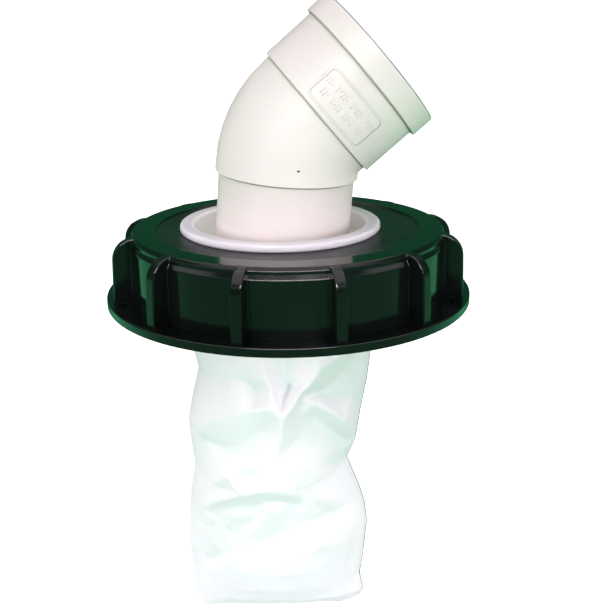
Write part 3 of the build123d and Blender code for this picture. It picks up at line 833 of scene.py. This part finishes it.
def area_light(name, spot, size, power, tint, mirrored, aim=(0.0, 0.0, 0.0), spread=math.pi):
    """A light of some width and height that faces a place, and is either only mirrored or only gives soft light."""
    light = bpy.data.lights.new(name, "AREA")
    light.shape = "RECTANGLE"
    light.size, light.size_y = size
    light.energy = power
    light.color = tint
    light.spread = spread
    lamp = bpy.data.objects.new(name, light)
    lamp.location = spot
    lamp.rotation_euler = (Vector(aim) - Vector(spot)).to_track_quat("-Z", "Y").to_euler()
    lamp.visible_glossy = mirrored
    lamp.visible_diffuse = not mirrored
    lamp.visible_camera = False
    bpy.context.scene.collection.objects.link(lamp)


def build_lights(look):
    """Three strips that glossy plastic mirrors, a soft key light, and a soft light on each side of the bag."""
    for turn, high, power in ((-STRIP_TURN, SIDE_STRIP_HIGH, look.side_power),
                              (0, FRONT_STRIP_HIGH, look.strip_power),
                              (STRIP_TURN, SIDE_STRIP_HIGH, look.side_power)):
        angle = math.radians(turn)
        spot = (STRIP_AWAY * math.sin(angle), -STRIP_AWAY * math.cos(angle), high)
        area_light("strip", spot, STRIP_SIZE, power, STRIP_COLOR, mirrored=True)
    area_light("key_light", KEY_PLACE, KEY_SIZE, look.key_power, KEY_COLOR, mirrored=False)
    x, y, z = BAG_LIGHT_PLACE
    for side in (-1, 1):
        area_light("bag_light", (x * side, y, z), BAG_LIGHT_SIZE, look.bag_power, BAG_LIGHT_COLOR, mirrored=False,
                   aim=BAG_LIGHT_AIM, spread=BAG_LIGHT_SPREAD)


def build_camera():
    """The photo's view."""
    ahead = Vector((math.sin(CAMERA_TURN) * math.cos(CAMERA_DOWN), math.cos(CAMERA_TURN) * math.cos(CAMERA_DOWN),
                    -math.sin(CAMERA_DOWN)))
    level = ahead.cross(Vector((0, 0, 1))).normalized()
    upright = level.cross(ahead)
    right = level * math.cos(CAMERA_ROLL) + upright * math.sin(CAMERA_ROLL)
    up = upright * math.cos(CAMERA_ROLL) - level * math.sin(CAMERA_ROLL)
    camera = bpy.data.objects.new("camera", bpy.data.cameras.new("camera"))
    camera.matrix_world = Matrix((
        (right.x, up.x, -ahead.x, CAMERA_PLACE[0]), (right.y, up.y, -ahead.y, CAMERA_PLACE[1]),
        (right.z, up.z, -ahead.z, CAMERA_PLACE[2]), (0, 0, 0, 1)))
    camera.data.sensor_width = 36.0
    camera.data.lens = CAMERA_LENS
    camera.data.clip_end = 200.0
    bpy.context.scene.collection.objects.link(camera)
    bpy.context.scene.camera = camera


# What a user can change

def length(name, about, default, low=0.0, high=1.0):
    """A length in metres."""
    return bpy.props.FloatProperty(name=name, description=about, default=default, min=low, max=high, unit="LENGTH",
                                   precision=5)


def color(name, about, default):
    """A colour of three numbers."""
    return bpy.props.FloatVectorProperty(name=name, description=about, default=default, subtype="COLOR", size=3,
                                         min=0.0, max=1.0)


def share(name, about, default, low=0.0, high=1.0):
    """A plain number, mostly from 0 to 1."""
    return bpy.props.FloatProperty(name=name, description=about, default=default, min=low, max=high)


def watts(name, about, default):
    """The power of a light."""
    return bpy.props.FloatProperty(name=name, description=about, default=default, unit="POWER")


def count(name, about, default, low):
    """A whole number."""
    return bpy.props.IntProperty(name=name, description=about, default=default, min=low)


class LidLook(bpy.types.PropertyGroup):
    """The lid's plastic"""
    color: color("Colour", "Colour of the lid's plastic", (0.0022, 0.0030, 0.0030))
    roughness: share("Roughness", "Roughness of the smooth faces", 0.09)
    recess_roughness: share("Recess roughness", "How much rougher the recess is", 0.20)
    recess_radius: length("Recess radius", "Radius of the grained face", 0.0736)
    recess_depth: length("Recess depth", "How far below the top the grained face lies", 0.0016)
    dust: share("Dust", "How much dust lies on it", 0.02)
    edge: length("Edge", "How far the edges look rounded", 0.0009)
    edge_low: length("Edge begins", "Height above which the edges look rounded", 0.009)


class CollarLook(bpy.types.PropertyGroup):
    """The collar's plastic"""
    color: color("Colour", "Colour of the collar's plastic", (0.70, 0.675, 0.725))
    # Painted light: the cup's inside is painted lighter than the collar
    cup_light_color: color("Cup colour", "Colour inside the collar, which is painted lighter", (0.95, 0.95, 0.91))
    cup_radius: length("Cup radius", "Radius of the collar's inside", 0.0485)
    roughness: share("Roughness", "Roughness of the collar", 0.33)
    depth: length("Light depth", "How deep light goes into the plastic", 0.006)
    depth_share: share("Light share", "How much of the light goes in", 0.6)


class PipeLook(bpy.types.PropertyGroup):
    """The pipe's plastic and its raised bars"""
    color: color("Colour", "Colour of the pipe's plastic", (0.76, 0.712, 0.692))
    # Painted shade: the spigot is painted darker than the bend
    spigot_shade_color: color("Spigot colour", "Colour of the spigot, which is a little duller", (0.69, 0.637, 0.62))
    # Painted light: the spigot's foot is painted lighter, standing in for light through the collar
    foot_light_color: color("Foot colour", "Colour of the spigot's foot, which light reaches through the collar",
                      (0.84, 0.77, 0.76))
    roughness: share("Roughness", "Roughness of the pipe", 0.36)
    specks: share("Specks", "How dark the specks are", 0.35)
    step_reach: length("Step reach", "How far from a step the plastic looks shaded", 0.0022)
    step_shade: share("Step shade", "How shaded the steps look", 0.8)
    edge_line: length("Edge line", "Width of the shaded line under the bend's lower edge", 0.0008)
    dot: length("Dark dot", "Radius of the one dark dot in the bend", 0.0008)
    rim_line: length("Rim line", "Width of the shaded line at the mouth", 0.0006)
    bar_width: length("Bar width", "Width of a raised bar", 0.0008)
    bar_height: length("Bar height", "How far a bar stands out", 0.0003)


class BagLook(bpy.types.PropertyGroup):
    """The bag's cloth and seam"""
    color: color("Colour", "Colour of the mesh", (0.92, 0.885, 0.935))
    # Painted shade: how strongly hollows and cloth that faces down are painted in the hollow colour
    tint: share("Hollow tint", "How much colour the hollows pick up", 0.42)
    tint_color: color("Hollow colour", "Colour that the hollows pick up", (0.61, 0.80, 0.745))
    opacity: share("Opacity", "How closed the mesh looks", 0.95)
    through: share("Light through", "How much light comes through the mesh", 0.10)
    through_color: color("Colour of light through", "Tint of the light that comes through", (0.95, 0.98, 0.97))
    pitch: length("Weave pitch", "Distance between threads", 0.0004)
    hem_top: length("Hem top", "Height of the hem's upper edge", 0.026, -1.0)
    hem_radius: length("Hem radius", "Radius of the cloth round the collar", 0.0530)
    seam: length("Seam", "Radius of the side seam", 0.0004)
    panels: count("Columns", "Mesh columns round the bag", 288, 24)
    rows: count("Rows", "Mesh rows down the bag", 200, 24)
    softening: count("Softening", "How often the creases are evened out", 2, 0)


class StageLook(bpy.types.PropertyGroup):
    """The floor, the surroundings and the lights"""
    light: share("Light", "Strength of the light above", 1.28, 0.0, 20.0)
    light_color: color("Light colour", "Colour of the light above", (1.0, 0.92, 0.97))
    light_low: share("Light begins", "Where the light above begins, as the sine of its elevation", 0.60, -1.0)
    light_high: share("Light is full", "Where the light above is full, as the sine of its elevation", 0.80, -1.0)
    surround: color("Surround", "What glossy plastic mirrors just above the horizon", (0.018, 0.145, 0.062))
    ground: color("Ground", "What glossy plastic mirrors below the horizon", (0.08, 0.35, 0.16))
    ground_behind: color("Ground behind", "What glossy plastic mirrors low down behind it", (0.16, 0.80, 0.40))
    fill: color("Fill", "Soft light from the sides", (0.36, 0.41, 0.385))
    floor_bounce: color("Floor bounce", "Colour that the floor throws back far off", (0.10, 0.40, 0.17))
    table_bounce: color("Table bounce", "Colour that the floor throws back near the part", (0.56, 0.69, 0.64))
    table_radius: length("Table radius", "How far the near floor reaches", 0.22, 0.0, 10.0)
    floor_glow: share("Floor glow", "How much the floor glows to the camera", 0.75, 0.0, 5.0)
    floor_size: length("Floor size", "Half the floor's width", 40.0, 0.0, 100.0)
    floor_gap: length("Floor gap", "Room between bag and floor", 0.0005)
    strip_power: watts("Strip power", "Power of the front strip that the edges mirror", 22.0)
    side_power: watts("Side strip power", "Power of each side strip", 0.9)
    bag_power: watts("Bag light power", "Power of each low light on the bag", 0.76)
    key_power: watts("Key power", "Power of the key light", 9.2)


# Operators and panel

class FILTER_OT_stage(bpy.types.Operator):
    """Makes the floor, the surroundings, the lights and the camera"""
    bl_idname = "filter.stage"
    bl_label = "Studio"

    def execute(self, context):
        look = context.scene.filter_stage
        build_world(look)
        build_floor(look)
        build_lights(look)
        build_camera()
        context.scene.view_settings.view_transform = "Standard"
        return {"FINISHED"}


class FILTER_OT_lid(bpy.types.Operator):
    """Gives the screw lid and its gasket their materials"""
    bl_idname = "filter.lid"
    bl_label = "Lid and gasket"

    def execute(self, context):
        dress("screw_lid", lid_material(context.scene.filter_lid))
        dress("lid_gasket", gasket_material())
        return {"FINISHED"}


class FILTER_OT_collar(bpy.types.Operator):
    """Gives the collar its material"""
    bl_idname = "filter.collar"
    bl_label = "Collar"

    def execute(self, context):
        dress("filter_collar", collar_material(context.scene.filter_collar))
        return {"FINISHED"}


class FILTER_OT_elbow(bpy.types.Operator):
    """Gives the elbow its material and its raised bars"""
    bl_idname = "filter.elbow"
    bl_label = "Elbow"

    def execute(self, context):
        look = context.scene.filter_pipe
        material = pipe_material(look)
        dress("pipe_elbow", material)
        build_bars(look, material)
        return {"FINISHED"}


class FILTER_OT_bag(bpy.types.Operator):
    """Builds the crumpled mesh bag in place of the plain one"""
    bl_idname = "filter.bag"
    bl_label = "Mesh bag"

    def execute(self, context):
        build_bag(context.scene.filter_bag)
        return {"FINISHED"}


class FILTER_PT_pieces(bpy.types.Panel):
    """The pieces of the tank lid filter"""
    bl_idname = "FILTER_PT_pieces"
    bl_label = "Tank lid filter"
    bl_space_type = "VIEW_3D"
    bl_region_type = "UI"
    bl_category = "Lid filter"

    def draw(self, context):
        for look, operator in zip(LOOKS, OPERATORS):
            box = self.layout.box()
            box.operator(operator.bl_idname)
            group = getattr(context.scene, look)
            for prop in type(group).__annotations__:
                box.prop(group, prop)


LOOKS = {"filter_stage": StageLook, "filter_lid": LidLook, "filter_collar": CollarLook, "filter_pipe": PipeLook,
         "filter_bag": BagLook}
OPERATORS = (FILTER_OT_stage, FILTER_OT_lid, FILTER_OT_collar, FILTER_OT_elbow, FILTER_OT_bag)


def register():
    """Registers the looks, the operators and the panel."""
    for kind in (*LOOKS.values(), *OPERATORS, FILTER_PT_pieces):
        bpy.utils.register_class(kind)
    for name, kind in LOOKS.items():
        setattr(bpy.types.Scene, name, bpy.props.PointerProperty(type=kind))


def unregister():
    """Takes them away again."""
    for name in LOOKS:
        delattr(bpy.types.Scene, name)
    for kind in (FILTER_PT_pieces, *reversed(OPERATORS), *reversed(LOOKS.values())):
        bpy.utils.unregister_class(kind)


def main():
    """Builds the stage and dresses the part."""
    register()
    bpy.ops.filter.stage()
    bpy.ops.filter.lid()
    bpy.ops.filter.collar()
    bpy.ops.filter.elbow()
    bpy.ops.filter.bag()
    bpy.context.view_layer.update()


if __name__ == "__main__":
    main()
